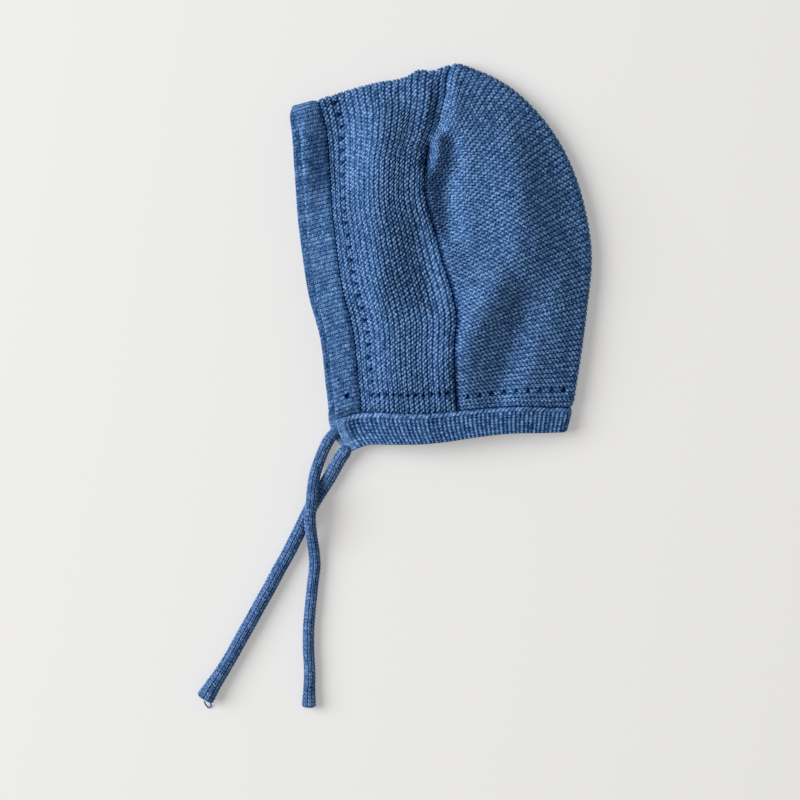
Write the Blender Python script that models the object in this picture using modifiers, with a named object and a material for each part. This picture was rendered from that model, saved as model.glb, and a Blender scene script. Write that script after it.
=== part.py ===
"""A baby's knitted bonnet lying on its side, folded flat, with its two ties laid out below it.

Units are metres and +Z is up. The bonnet lies on z = 0, with the origin below the middle of the
bonnet without its ties. X runs from the face opening to the back of the head, and Y from the neck
to the crown. The near layer is the upper one, and the far layer lies flat below it. The two are
one cloth, which turns over in a round fold along the top and down the back of the head.
"""

import math

import bpy
import numpy as np

# Driving sizes of the bonnet
BONNET_DEPTH = 0.1505  # from the face edge to the back of the head
BONNET_HEIGHT = 0.1935  # from the neck corner to the crown
FRONT_BAND_WIDTH = 0.0133
NECK_BAND_WIDTH = 0.0127
NECK_BAND_FRONT = 0.0178  # the neck band is taller at the face edge, where the tie pulls on it
PANEL_WALL = 0.0024  # garter stitch, as thick as it is knitted
FRONT_BAND_WALL = 0.0028  # fine stockinette, folded double
NECK_BAND_WALL = 0.0026
RIB_PITCH = 0.0021
RIB_DEPTH = 0.0006
JOIN_GAP = 0.0004  # between two pieces that are sewn or picked up along one line
SEAM_FOOT = 0.513  # where the seam meets the neck band, as a share of that band's length

# Driving sizes of how it lies
FOLD_RADIUS = 0.0045  # outside radius of the fold
MOUTH_LIFT = 0.0044  # how far the near layer lifts off the far one at the face and neck
PUFF = 0.0090  # how much higher the hollow stands where the head goes
FOLD_RISE = 0.030  # over this distance from the fold the near layer lifts
EDGE_RISE = 0.042  # and over this one from the two free edges it puffs up
RELIEF_AT_FOLD = 0.25  # share of each soft fold's height that is left at the turned edge
RELIEF_AT_NECK = 0.20  # and at the neck edge
CORNER_DROP = 0.0066  # how far the near neck corner sinks on to the far one
CORNER_RADIUS = 0.016
FACE_LEAD = 0.0048  # the far layer shows past the near one along the face
CORNER_LEAD = 0.0015  # and further at its neck corner
NECK_RISE = 0.0030  # its neck edge lies this much higher at the face side
LEAD_RISE = 0.007  # over about this distance from the fold the far layer slips out
NECK_RISE_REACH = 0.6  # share of the bonnet's height over which that fades out
GROOVE_DEPTH = 0.0009  # the cloth is drawn in along each join
GROOVE_WIDTH = 0.0016

# Driving sizes of the ties
NEAR_TIE_DIAMETER = 0.0066
FAR_TIE_DIAMETER = 0.0056
TIE_STEP = 0.0052  # between two points of a tie's smooth line

# How finely the cloth is divided
LINE_POINTS = 240
FOLD_STEPS = 4
HOOD_ACROSS = 13
HOOD_TO_CORNER = 15
HOOD_TO_FOLD = 5
BAND_ACROSS = 4
BAND_ALONG = 19
BACK_ACROSS = 13
BACK_ALONG = 22
NECK_UP = 2
CROWDING = 0.45  # how much closer together the lines lie beside the joins

# Outlines as shares of BONNET_DEPTH, from the face, and BONNET_HEIGHT, from the neck
FACE_CORNER = (0.003, 0.890)
CROWN = (0.530, 1.000)
SEAM_CORNER = (0.457, 0.784)
FACE_EDGE = (
    (0.203, 0.000), (0.174, 0.030), (0.156, 0.063), (0.150, 0.107), (0.140, 0.172),
    (0.124, 0.286), (0.088, 0.399), (0.068, 0.503), (0.053, 0.603), (0.042, 0.727),
    (0.027, 0.834), FACE_CORNER,
)
TOP_OUTLINE = (
    FACE_CORNER, (0.051, 0.900), (0.098, 0.911), (0.174, 0.929), (0.284, 0.952),
    (0.390, 0.970), (0.420, 0.984), (0.473, 0.983), (0.502, 0.991), CROWN,
)
BACK_OUTLINE = (
    CROWN, (0.623, 0.983), (0.716, 0.947), (0.809, 0.885), (0.899, 0.791), (0.950, 0.704),
    (0.978, 0.628), (1.000, 0.516), (0.984, 0.358), (0.955, 0.195), (0.935, 0.105),
    (0.917, 0.050),
)
NECK_EDGE = (
    (0.203, 0.000), (0.244, 0.014), (0.337, 0.018), (0.430, 0.019), (0.523, 0.026),
    (0.573, 0.032), (0.643, 0.040), (0.736, 0.047), (0.829, 0.048), (0.917, 0.050),
)
SEAM = (
    (0.548, 0.159), (0.543, 0.267), (0.550, 0.353), (0.540, 0.397), (0.503, 0.492),
    (0.477, 0.572), (0.447, 0.663), (0.449, 0.730), SEAM_CORNER,
)
CREASE = (SEAM_CORNER, (0.483, 0.828), (0.500, 0.877), (0.512, 0.921), (0.517, 0.960), CROWN)

# Folds of the near layer, each a straight stretch with a rounded cross-section. Places are shares
# as above, half_width is a share of BONNET_DEPTH and height is a share of PUFF.
FOLD_COLUMNS = ("from_x", "from_y", "to_x", "to_y", "half_width", "height")
FOLDS = {
    "side_crest": (0.305, 0.860, 0.290, 0.430, 0.070, 0.46),
    "side_crest_foot": (0.290, 0.430, 0.350, 0.150, 0.060, 0.22),
    "side_hollow": (0.232, 0.380, 0.250, 0.080, 0.045, -0.28),
    "crease_valley": (0.505, 0.935, 0.455, 0.740, 0.028, -0.62),
    "seam_valley": (0.503, 0.700, 0.522, 0.570, 0.042, -0.85),
    "seam_valley_low": (0.425, 0.560, 0.465, 0.400, 0.050, -0.46),
    "seam_ridge": (0.500, 0.330, 0.505, 0.130, 0.030, 0.16),
    "seam_foot": (0.549, 0.391, 0.552, 0.133, 0.022, -0.10),
    "crown_bump": (0.527, 0.986, 0.527, 0.919, 0.032, 0.14),
    "pucker": (0.484, 0.800, 0.480, 0.735, 0.022, 0.50),
    "pucker_valley": (0.535, 0.790, 0.535, 0.700, 0.030, -0.40),
    "back_crest": (0.750, 0.830, 0.765, 0.540, 0.088, 0.40),
    "back_crest_low": (0.680, 0.430, 0.570, 0.260, 0.060, 0.54),
    "back_valley": (0.780, 0.370, 0.685, 0.140, 0.060, -0.58),
    "outline_crest": (0.919, 0.469, 0.895, 0.159, 0.050, 0.22),
    "front_hollow": (0.158, 0.900, 0.160, 0.715, 0.064, -0.78),
    "face_crest": (0.050, 0.860, 0.060, 0.640, 0.035, 0.24),
}

# The ties' routes: the middle of the cord in metres, and its width as a share of its diameter
ROUTE_COLUMNS = ("x", "y", "z", "width")
FAR_TIE_ROUTE = (
    (-0.0558, -0.0906, 0.0030, 1.00), (-0.0586, -0.0960, 0.0030, 1.00),
    (-0.0606, -0.1010, 0.0036, 1.00), (-0.0625, -0.1068, 0.0056, 1.00),
    (-0.0638, -0.1140, 0.0088, 1.00), (-0.0645, -0.1220, 0.0100, 1.00),
    (-0.0652, -0.1300, 0.0099, 1.00), (-0.0646, -0.1380, 0.0074, 1.00),
    (-0.0635, -0.1460, 0.0043, 1.00), (-0.0630, -0.1530, 0.0031, 1.00),
    (-0.0639, -0.1615, 0.0030, 1.00), (-0.0650, -0.1720, 0.0030, 1.00),
    (-0.0660, -0.1835, 0.0030, 1.00), (-0.0662, -0.1940, 0.0030, 1.00),
    (-0.0656, -0.2060, 0.0030, 1.00), (-0.0658, -0.2160, 0.0032, 1.08),
    (-0.0660, -0.2245, 0.0038, 1.30),
)
NEAR_TIE_ROUTE = (
    (-0.0479, -0.0966, 0.0053, 0.96), (-0.0500, -0.0995, 0.0040, 1.00),
    (-0.0527, -0.1042, 0.0035, 1.00), (-0.0556, -0.1095, 0.0035, 1.00),
    (-0.0590, -0.1148, 0.0035, 1.00), (-0.0625, -0.1203, 0.0035, 1.00),
    (-0.0659, -0.1265, 0.0035, 1.00), (-0.0693, -0.1335, 0.0035, 1.00),
    (-0.0730, -0.1410, 0.0035, 1.00), (-0.0768, -0.1485, 0.0035, 1.00),
    (-0.0808, -0.1555, 0.0035, 1.00), (-0.0850, -0.1635, 0.0035, 1.00),
    (-0.0898, -0.1720, 0.0035, 1.00), (-0.0950, -0.1815, 0.0035, 1.00),
    (-0.0998, -0.1900, 0.0035, 1.00), (-0.1045, -0.1985, 0.0035, 1.00),
    (-0.1092, -0.2063, 0.0036, 1.04), (-0.1140, -0.2137, 0.0041, 1.18),
    (-0.1182, -0.2205, 0.0050, 1.42),
)

# Colours, as linear values
KNIT_BLUE = (0.052, 0.110, 0.240, 1.0)
TIE_BLUE = (0.058, 0.120, 0.255, 1.0)


def plan(shares):
    """Places in the plan, in metres, of shares of the bonnet's depth and height."""
    shares = np.asarray(shares, float)
    return (shares - 0.5) * (BONNET_DEPTH, BONNET_HEIGHT)


def lengths_along(line):
    steps = np.linalg.norm(np.diff(line, axis=0), axis=1)
    return np.concatenate([[0.0], np.cumsum(steps)])


def smooth_line(points, count=LINE_POINTS):
    """Evenly spaced points of a smooth curve through the given ones, whose first columns are the
    place, up to three of them."""
    points = np.asarray(points, float)
    knots = lengths_along(points[:, :3])
    slopes = np.gradient(points, knots, axis=0)
    places = np.linspace(0.0, knots[-1], count)
    piece = np.clip(np.searchsorted(knots, places, side="right") - 1, 0, len(knots) - 2)
    step = (knots[piece + 1] - knots[piece])[:, None]
    t = (places - knots[piece])[:, None] / step
    return (
        (1 + 2 * t) * (1 - t) ** 2 * points[piece]
        + t * (1 - t) ** 2 * step * slopes[piece]
        + t**2 * (3 - 2 * t) * points[piece + 1]
        + t**2 * (t - 1) * step * slopes[piece + 1]
    )


def point_at(line, share):
    """The points of a line at shares of its length."""
    along = lengths_along(line)
    places = np.asarray(share) * along[-1]
    return np.stack([np.interp(places, along, line[:, k]) for k in range(line.shape[1])], axis=-1)


def stretch(line, start, end):
    return point_at(line, np.linspace(start, end, LINE_POINTS))


def share_of(line, length):
    return length / lengths_along(line)[-1]


def beside(line, distance):
    """The line moved sideways, to the left of its direction."""
    ahead = np.gradient(line, axis=0)
    ahead /= np.linalg.norm(ahead, axis=1)[:, None]
    return line + distance * np.stack([-ahead[:, 1], ahead[:, 0]], axis=1)


def pinned(line, start, end):
    """The line eased over so that it starts and ends at the given points."""
    share = np.linspace(0.0, 1.0, len(line))[:, None]
    return line + (1 - share) * (start - line[0]) + share * (end - line[-1])


def smooth_step(value):
    value = np.clip(value, 0.0, 1.0)
    return value * value * (3 - 2 * value)


def nearest_on(line, places):
    """For each place, the distance to a line and the line's left-hand normal there."""
    start, step = line[:-1], np.diff(line, axis=0)
    flat = places.reshape(-1, 2)
    offset = flat[:, None, :] - start[None, :, :]
    share = np.clip((offset * step).sum(2) / (step**2).sum(1), 0.0, 1.0)
    apart = np.linalg.norm(offset - share[..., None] * step, axis=2)
    best = apart.argmin(axis=1)
    ahead = step[best] / np.linalg.norm(step[best], axis=1)[:, None]
    normal = np.stack([-ahead[:, 1], ahead[:, 0]], axis=1)
    distance = apart[np.arange(len(flat)), best]
    return distance.reshape(places.shape[:-1]), normal.reshape(places.shape)


def draw_lines():
    """The outlines and joins in the plan, by name."""
    face = smooth_line(plan(FACE_EDGE))
    fold = smooth_line(plan(TOP_OUTLINE + BACK_OUTLINE[1:]), 2 * LINE_POINTS)
    crown = np.linalg.norm(fold - plan(CROWN), axis=1).argmin() / (len(fold) - 1)
    top = stretch(fold, 0.0, crown)
    back = stretch(fold, crown, 1.0)
    neck = smooth_line(plan(NECK_EDGE))
    crease = smooth_line([*plan(CREASE[:-1]), top[-1]])
    band_end = point_at(top, share_of(top, FRONT_BAND_WIDTH))
    neck_front = share_of(face, NECK_BAND_FRONT)
    neck_back = 1.0 - share_of(back, NECK_BAND_WIDTH)
    neck_join = pinned(
        beside(neck, NECK_BAND_WIDTH), point_at(face, neck_front), point_at(back, neck_back)
    )
    band_foot = share_of(neck_join, FRONT_BAND_WIDTH)
    front_face = stretch(face, neck_front, 1.0)
    band_join = pinned(
        beside(front_face, -FRONT_BAND_WIDTH), point_at(neck_join, band_foot), band_end
    )
    seam_foot = point_at(neck_join, SEAM_FOOT)
    seam = smooth_line([seam_foot, *plan(SEAM)])
    return {
        "face": face,
        "front_face": front_face,
        "neck": neck,
        "fold": fold,
        "band_top": stretch(top, 0.0, share_of(top, FRONT_BAND_WIDTH)),
        "hood_top": stretch(top, share_of(top, FRONT_BAND_WIDTH), 1.0),
        "back_fold": stretch(back, neck_back, 0.0),
        "neck_fold": stretch(back, 1.0, neck_back),
        "band_foot": stretch(neck_join, 0.0, band_foot),
        "hood_foot": stretch(neck_join, band_foot, SEAM_FOOT),
        "back_foot": stretch(neck_join, SEAM_FOOT, 1.0),
        "neck_join": neck_join,
        "neck_front": stretch(face, 0.0, neck_front),
        "band_join": band_join,
        "seam": seam,
        "crease": crease,
        "hood_back": np.concatenate([seam, crease[1:]]),
    }


LINES = draw_lines()


def fold_relief(places):
    """The height that the soft folds of the near layer add."""
    height = np.zeros(places.shape[:-1])
    for row in FOLDS.values():
        fold = dict(zip(FOLD_COLUMNS, row))
        ends = plan([(fold["from_x"], fold["from_y"]), (fold["to_x"], fold["to_y"])])
        distance, _ = nearest_on(ends, places)
        width = fold["half_width"] * BONNET_DEPTH
        height += fold["height"] * PUFF * np.exp(-((distance / width) ** 2))
    return height


def near_height(places, from_fold):
    """How far the near layer stands above a cloth that is only folded flat."""
    from_face, _ = nearest_on(LINES["face"], places)
    from_neck, _ = nearest_on(LINES["neck"], places)
    lifted = smooth_step(from_fold / FOLD_RISE)
    puffed = smooth_step(from_fold / EDGE_RISE)
    inside = smooth_step(from_face / EDGE_RISE) * smooth_step(from_neck / EDGE_RISE)
    corner = np.linalg.norm(places - plan(NECK_EDGE[0]), axis=-1)
    relief = fold_relief(places) * smooth_step(from_fold / FOLD_RISE + RELIEF_AT_FOLD)
    return (
        MOUTH_LIFT * lifted
        + PUFF * puffed * inside
        + relief * smooth_step(from_neck / EDGE_RISE + RELIEF_AT_NECK)
        - CORNER_DROP * np.exp(-((corner / CORNER_RADIUS) ** 2))
    )


def far_shift(places, from_fold):
    """How far the far layer slips out past the near one, along the face and at the neck corner."""
    shares = places / (BONNET_DEPTH, BONNET_HEIGHT) + 0.5
    ahead = np.clip(1 - shares[..., 0], 0.0, 1.0) ** 2
    low = np.clip(1 - shares[..., 1] / NECK_RISE_REACH, 0.0, 1.0) ** 2
    corner = np.linalg.norm(places - plan(NECK_EDGE[0]), axis=-1)
    near_corner = np.exp(-((corner / CORNER_RADIUS) ** 2))
    slip = np.stack([-FACE_LEAD * ahead - CORNER_LEAD * near_corner, NECK_RISE * ahead * low], axis=-1)
    return slip * (1 - np.exp(-from_fold / LEAD_RISE))[..., None]


def lay(places, side, raised=0.0):
    """Lifts plan places on to the outer face of the near layer, side 1, or the far one, side -1.

    raised moves each point outwards along the cloth's own outward direction.
    """
    from_fold, outward = nearest_on(LINES["fold"], places)
    across = np.clip(1 - from_fold / FOLD_RADIUS, 0.0, 1.0)
    up = side * np.sqrt(1 - across**2)
    groove = np.zeros(places.shape[:-1])
    for name in ("hood_back", "band_join", "neck_join"):
        distance, _ = nearest_on(LINES[name], places)
        groove = np.maximum(groove, np.exp(-((distance / GROOVE_WIDTH) ** 2)))
    raised = raised - GROOVE_DEPTH * groove
    height = FOLD_RADIUS * (1 + up) + raised * up
    spot = places + outward * (across * raised)[..., None]
    if side > 0:
        height = height + near_height(places, from_fold)
    else:
        spot = spot + far_shift(places, from_fold)
    return np.concatenate([spot, height[..., None]], axis=-1)


def patch(sides, across, along):
    """Plan places inside four sides, given as left, right, bottom and top, at the shares across
    and along."""
    left, right, bottom, top = (LINES[name] for name in sides)
    u, v = across[..., None], along[..., None]
    corners = (
        (1 - u) * (1 - v) * bottom[0] + u * (1 - v) * bottom[-1] + (1 - u) * v * top[0] + u * v * top[-1]
    )
    return (
        (1 - v) * point_at(bottom, across)
        + v * point_at(top, across)
        + (1 - u) * point_at(left, along)
        + u * point_at(right, along)
        - corners
    )


def shares_to_fold(lengths, flat_shares):
    """For each line of these lengths, shares of the way to the fold, on the flat and then round
    the fold."""
    radius = (FOLD_RADIUS / lengths)[:, None]
    flat = flat_shares[None, :] * (1 - radius)
    turn = np.linspace(math.pi / 2, 0.0, FOLD_STEPS + 1)[None, 1:]
    return np.concatenate([flat, 1 - radius * (1 - np.cos(turn))], axis=1)


def crowded(steps):
    """Shares from 0 to 1, closer together at both ends."""
    even = np.linspace(0.0, 1.0, steps + 1)
    return (1 - CROWDING) * even + CROWDING * (0.5 - 0.5 * np.cos(math.pi * even))


def kept_clear(shares, lengths, start, end):
    """The shares drawn in by half a join's gap at the ends that are named."""
    inset = (JOIN_GAP / 2 / lengths)[:, None]
    return start * inset + shares * (1 - (start + end) * inset)


def cloth_grid(sides, fold_at, cross_shares, flat_shares, joined, raise_by=None):
    """The points of both layers of a piece, line by line, each line running over the fold.

    fold_at is top or right. joined says which of the left, right, bottom and top sides meet
    another piece.
    """
    left, right, bottom, top = (LINES[name] for name in sides)
    join_left, join_right, join_bottom, join_top = joined
    if fold_at == "top":
        lengths = np.linalg.norm(point_at(top, cross_shares) - point_at(bottom, cross_shares), axis=1)
        widths = np.array([np.linalg.norm(right[0] - left[0])])
        cross = kept_clear(cross_shares[None, :], widths, join_left, join_right)[0]
        along = kept_clear(shares_to_fold(lengths, flat_shares), lengths, join_bottom, 0)
        across = np.repeat(cross[:, None], along.shape[1], axis=1)
    else:
        lengths = np.linalg.norm(point_at(right, cross_shares) - point_at(left, cross_shares), axis=1)
        widths = np.array([np.linalg.norm(left[-1] - left[0])])
        cross = kept_clear(cross_shares[None, :], widths, join_bottom, join_top)[0]
        across = kept_clear(shares_to_fold(lengths, flat_shares), lengths, join_left, 0)
        along = np.repeat(cross[:, None], across.shape[1], axis=1)
    places = patch(sides, across, along)
    raised = raise_by(across, along, lengths) if raise_by else 0.0
    near = lay(places, 1, raised)
    far = lay(places, -1, raised)
    return np.concatenate([near, far[:, -2::-1]], axis=1)


def knit_material(name, colour):
    material = bpy.data.materials.new(name)
    material.use_nodes = True
    shader = material.node_tree.nodes["Principled BSDF"]
    shader.inputs["Base Color"].default_value = colour
    shader.inputs["Roughness"].default_value = 0.9
    shader.inputs["Metallic"].default_value = 0.0
    return material


def cloth_object(name, grid, wall, collection, reverse):
    """A sheet of quads over the grid, thickened inwards by its wall. reverse turns the quads round
    for a grid whose lines run the other way."""
    lines, points = grid.shape[:2]
    corner = np.arange(lines * points).reshape(lines, points)
    quads = np.stack([corner[:-1, :-1], corner[1:, :-1], corner[1:, 1:], corner[:-1, 1:]], axis=-1)
    quads = quads.reshape(-1, 4)
    if reverse:
        quads = quads[:, ::-1]
    mesh = bpy.data.meshes.new(name)
    mesh.from_pydata(grid.reshape(-1, 3).tolist(), [], quads.tolist())
    mesh.shade_smooth()
    piece = bpy.data.objects.new(name, mesh)
    piece.data.materials.append(knit_material(name + "_knit", KNIT_BLUE))
    collection.objects.link(piece)
    shell = piece.modifiers.new("Wall", "SOLIDIFY")
    shell.thickness = wall
    shell.offset = -1.0
    shell.use_even_offset = False
    return piece


def make_front_band(collection):
    """The double band round the face, from the near neck band over the top to the far one."""
    grid = cloth_grid(
        ("front_face", "band_join", "band_foot", "band_top"),
        "top",
        np.linspace(0.0, 1.0, BAND_ACROSS + 1),
        np.linspace(0.0, 1.0, BAND_ALONG + 1),
        (0, 1, 1, 0),
    )
    return cloth_object("front_band", grid, FRONT_BAND_WALL, collection, False)


def make_hood_panel(collection):
    """The garter stitch sides and top, one piece from neck to neck, with a row at the corner of
    the seam."""
    seam_length = lengths_along(LINES["seam"])[-1]
    corner = seam_length / (lengths_along(LINES["hood_back"])[-1] - FOLD_RADIUS)
    below = np.linspace(0.0, corner, HOOD_TO_CORNER + 1)
    above = np.linspace(corner, 1.0, HOOD_TO_FOLD + 1)
    grid = cloth_grid(
        ("band_join", "hood_back", "hood_foot", "hood_top"),
        "top",
        crowded(HOOD_ACROSS),
        np.concatenate([below, above[1:]]),
        (1, 1, 1, 0),
    )
    return cloth_object("hood_panel", grid, PANEL_WALL, collection, False)


def make_back_panel(collection):
    """The garter stitch back of the head, fanned out from the seams to the fold."""
    grid = cloth_grid(
        ("seam", "back_fold", "back_foot", "crease"),
        "right",
        crowded(BACK_ALONG),
        np.linspace(0.0, 1.0, BACK_ACROSS + 1),
        (1, 0, 1, 1),
    )
    return cloth_object("back_panel", grid, PANEL_WALL, collection, True)


def rib_wave(across, along, lengths):
    """Ribs that run up the neck band, highest in the middle of each."""
    ribs = np.mean(lengths) / RIB_PITCH
    return RIB_DEPTH / 2 * (np.cos(2 * math.pi * across * ribs) - 1)


def make_neck_band(collection):
    """The ribbed band round the neck, with two points to each rib."""
    length = lengths_along(LINES["neck_join"])[-1]
    grid = cloth_grid(
        ("neck_front", "neck_fold", "neck", "neck_join"),
        "right",
        np.linspace(0.0, 1.0, NECK_UP + 1),
        np.linspace(0.0, 1.0, 2 * round(length / RIB_PITCH) + 1),
        (0, 0, 0, 1),
        rib_wave,
    )
    return cloth_object("neck_band", grid, NECK_BAND_WALL, collection, True)


def make_tie(name, route, diameter, collection):
    """A knitted cord along its route, with an end that spreads a little."""
    length = lengths_along(np.asarray(route)[:, :3])[-1]
    line = smooth_line(route, round(length / TIE_STEP) + 1)
    data = bpy.data.curves.new(name, "CURVE")
    data.dimensions = "3D"
    data.bevel_depth = diameter / 2
    data.bevel_resolution = 2
    data.use_fill_caps = True
    spline = data.splines.new("POLY")
    spline.points.add(len(line) - 1)
    for point, row in zip(spline.points, line):
        spot = dict(zip(ROUTE_COLUMNS, row))
        point.co = (spot["x"], spot["y"], spot["z"], 1.0)
        point.radius = spot["width"]
    tie = bpy.data.objects.new(name, data)
    tie.data.materials.append(knit_material(name + "_knit", TIE_BLUE))
    collection.objects.link(tie)
    return tie


def main():
    for old in list(bpy.data.objects):
        bpy.data.objects.remove(old, do_unlink=True)
    collection = bpy.data.collections.new("baby_bonnet")
    bpy.context.scene.collection.children.link(collection)
    make_front_band(collection)
    make_hood_panel(collection)
    make_back_panel(collection)
    make_neck_band(collection)
    make_tie("tie_near", NEAR_TIE_ROUTE, NEAR_TIE_DIAMETER, collection)
    make_tie("tie_far", FAR_TIE_ROUTE, FAR_TIE_DIAMETER, collection)


main()
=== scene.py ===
"""A baby's knitted bonnet lying on its side, folded flat, with its two ties laid out below it.

Units are metres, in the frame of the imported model: the bonnet lies on z = 0, X runs from the face
opening to the back of the head, and Y from the neck to the crown. The four knitted pieces and the
two cords follow the same lines and tables as the part's source. Their stitches are raised from
those surfaces: garter stitch on the hood and back, fine stockinette on the front band and the
cords, and ribs on the neck band.
"""

import math

import bpy
import numpy as np
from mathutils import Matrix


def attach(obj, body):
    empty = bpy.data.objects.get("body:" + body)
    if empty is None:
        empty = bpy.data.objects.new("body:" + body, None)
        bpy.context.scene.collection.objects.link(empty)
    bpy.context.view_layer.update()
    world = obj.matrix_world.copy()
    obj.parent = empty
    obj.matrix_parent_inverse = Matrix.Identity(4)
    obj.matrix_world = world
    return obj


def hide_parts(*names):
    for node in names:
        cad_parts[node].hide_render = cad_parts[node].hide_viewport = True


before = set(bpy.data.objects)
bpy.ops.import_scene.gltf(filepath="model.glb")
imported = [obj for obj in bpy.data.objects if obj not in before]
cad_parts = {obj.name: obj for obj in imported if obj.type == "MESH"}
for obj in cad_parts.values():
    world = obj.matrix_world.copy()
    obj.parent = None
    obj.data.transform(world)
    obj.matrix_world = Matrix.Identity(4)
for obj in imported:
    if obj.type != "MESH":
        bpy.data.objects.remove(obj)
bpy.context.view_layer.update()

# Sizes of the bonnet, as in the part's source
BONNET_DEPTH = 0.1505
BONNET_HEIGHT = 0.1935
FRONT_BAND_WIDTH = 0.0133
NECK_BAND_WIDTH = 0.0127
NECK_BAND_FRONT = 0.0178
PANEL_WALL = 0.0024
FRONT_BAND_WALL = 0.0028
NECK_BAND_WALL = 0.0026
JOIN_GAP = 0.0001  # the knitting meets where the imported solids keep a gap
SEAM_FOOT = 0.513
FOLD_RADIUS = 0.0045
MOUTH_LIFT = 0.0044
PUFF = 0.0090
FOLD_RISE = 0.030
EDGE_RISE = 0.042
RELIEF_AT_FOLD = 0.25
RELIEF_AT_NECK = 0.20
CORNER_DROP = 0.0066
CORNER_RADIUS = 0.016
FACE_LEAD = 0.0048
CORNER_LEAD = 0.0015
NECK_RISE = 0.0030
LEAD_RISE = 0.007  # over about this distance from the fold the far layer slips out
NECK_RISE_REACH = 0.6
GROOVE_DEPTH = 0.0009
GROOVE_WIDTH = 0.0016
NEAR_TIE_DIAMETER = 0.0066
FAR_TIE_DIAMETER = 0.0056

# Outlines as shares of BONNET_DEPTH, from the face, and BONNET_HEIGHT, from the neck
FACE_CORNER = (0.003, 0.890)
CROWN = (0.530, 1.000)
SEAM_CORNER = (0.457, 0.784)
FACE_EDGE = (
    (0.203, 0.000), (0.174, 0.030), (0.156, 0.063), (0.150, 0.107), (0.140, 0.172),
    (0.124, 0.286), (0.088, 0.399), (0.068, 0.503), (0.053, 0.603), (0.042, 0.727),
    (0.027, 0.834), FACE_CORNER,
)
TOP_OUTLINE = (
    FACE_CORNER, (0.051, 0.900), (0.098, 0.911), (0.174, 0.929), (0.284, 0.952),
    (0.390, 0.970), (0.420, 0.984), (0.473, 0.983), (0.502, 0.991), CROWN,
)
BACK_OUTLINE = (
    CROWN, (0.623, 0.983), (0.716, 0.947), (0.809, 0.885), (0.899, 0.791), (0.950, 0.704),
    (0.978, 0.628), (1.000, 0.516), (0.984, 0.358), (0.955, 0.195), (0.935, 0.105),
    (0.917, 0.050),
)
NECK_EDGE = (
    (0.203, 0.000), (0.244, 0.014), (0.337, 0.018), (0.430, 0.019), (0.523, 0.026),
    (0.573, 0.032), (0.643, 0.040), (0.736, 0.047), (0.829, 0.048), (0.917, 0.050),
)
SEAM = (
    (0.548, 0.159), (0.543, 0.267), (0.550, 0.353), (0.540, 0.397), (0.503, 0.492),
    (0.477, 0.572), (0.447, 0.663), (0.449, 0.730), SEAM_CORNER,
)
CREASE = (SEAM_CORNER, (0.483, 0.828), (0.500, 0.877), (0.512, 0.921), (0.517, 0.960), CROWN)

# Folds of the near layer: half_width is a share of BONNET_DEPTH and height is a share of PUFF
FOLD_COLUMNS = ("from_x", "from_y", "to_x", "to_y", "half_width", "height")
FOLDS = {
    "side_crest": (0.305, 0.860, 0.290, 0.430, 0.070, 0.46),
    "side_crest_foot": (0.290, 0.430, 0.350, 0.150, 0.060, 0.22),
    "side_hollow": (0.232, 0.380, 0.250, 0.080, 0.045, -0.28),
    "crease_valley": (0.505, 0.935, 0.455, 0.740, 0.028, -0.62),
    "seam_valley": (0.503, 0.700, 0.522, 0.570, 0.042, -0.85),
    "seam_valley_low": (0.425, 0.560, 0.465, 0.400, 0.050, -0.46),
    "seam_ridge": (0.500, 0.330, 0.505, 0.130, 0.030, 0.16),
    "seam_foot": (0.549, 0.391, 0.552, 0.133, 0.022, -0.10),
    "crown_bump": (0.527, 0.986, 0.527, 0.919, 0.032, 0.14),
    "pucker": (0.484, 0.800, 0.480, 0.735, 0.022, 0.50),
    "pucker_valley": (0.535, 0.790, 0.535, 0.700, 0.030, -0.40),
    "back_crest": (0.750, 0.830, 0.765, 0.540, 0.088, 0.40),
    "back_crest_low": (0.680, 0.430, 0.570, 0.260, 0.060, 0.54),
    "back_valley": (0.780, 0.370, 0.685, 0.140, 0.060, -0.58),
    "outline_crest": (0.919, 0.469, 0.895, 0.159, 0.050, 0.22),
    "front_hollow": (0.158, 0.900, 0.160, 0.715, 0.064, -0.78),
    "face_crest": (0.050, 0.860, 0.060, 0.640, 0.035, 0.24),
}

# The ties' routes: the middle of the cord, and its width as a share of its diameter
FAR_TIE_ROUTE = (
    (-0.0512, -0.0846, 0.0044, 0.50), (-0.0535, -0.0876, 0.0034, 0.90),
    (-0.0558, -0.0906, 0.0030, 1.00), (-0.0586, -0.0960, 0.0030, 1.00),
    (-0.0606, -0.1010, 0.0036, 1.00), (-0.0625, -0.1068, 0.0056, 1.00),
    (-0.0638, -0.1140, 0.0088, 1.00), (-0.0645, -0.1220, 0.0100, 1.00),
    (-0.0652, -0.1300, 0.0099, 1.00), (-0.0646, -0.1380, 0.0074, 1.00),
    (-0.0635, -0.1460, 0.0043, 1.00), (-0.0630, -0.1530, 0.0031, 1.00),
    (-0.0639, -0.1615, 0.0030, 1.00), (-0.0650, -0.1720, 0.0030, 1.00),
    (-0.0660, -0.1835, 0.0030, 1.00), (-0.0662, -0.1940, 0.0030, 1.00),
    (-0.0656, -0.2060, 0.0030, 1.00), (-0.0658, -0.2160, 0.0032, 1.08),
    (-0.0660, -0.2245, 0.0038, 1.30),
)
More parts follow.
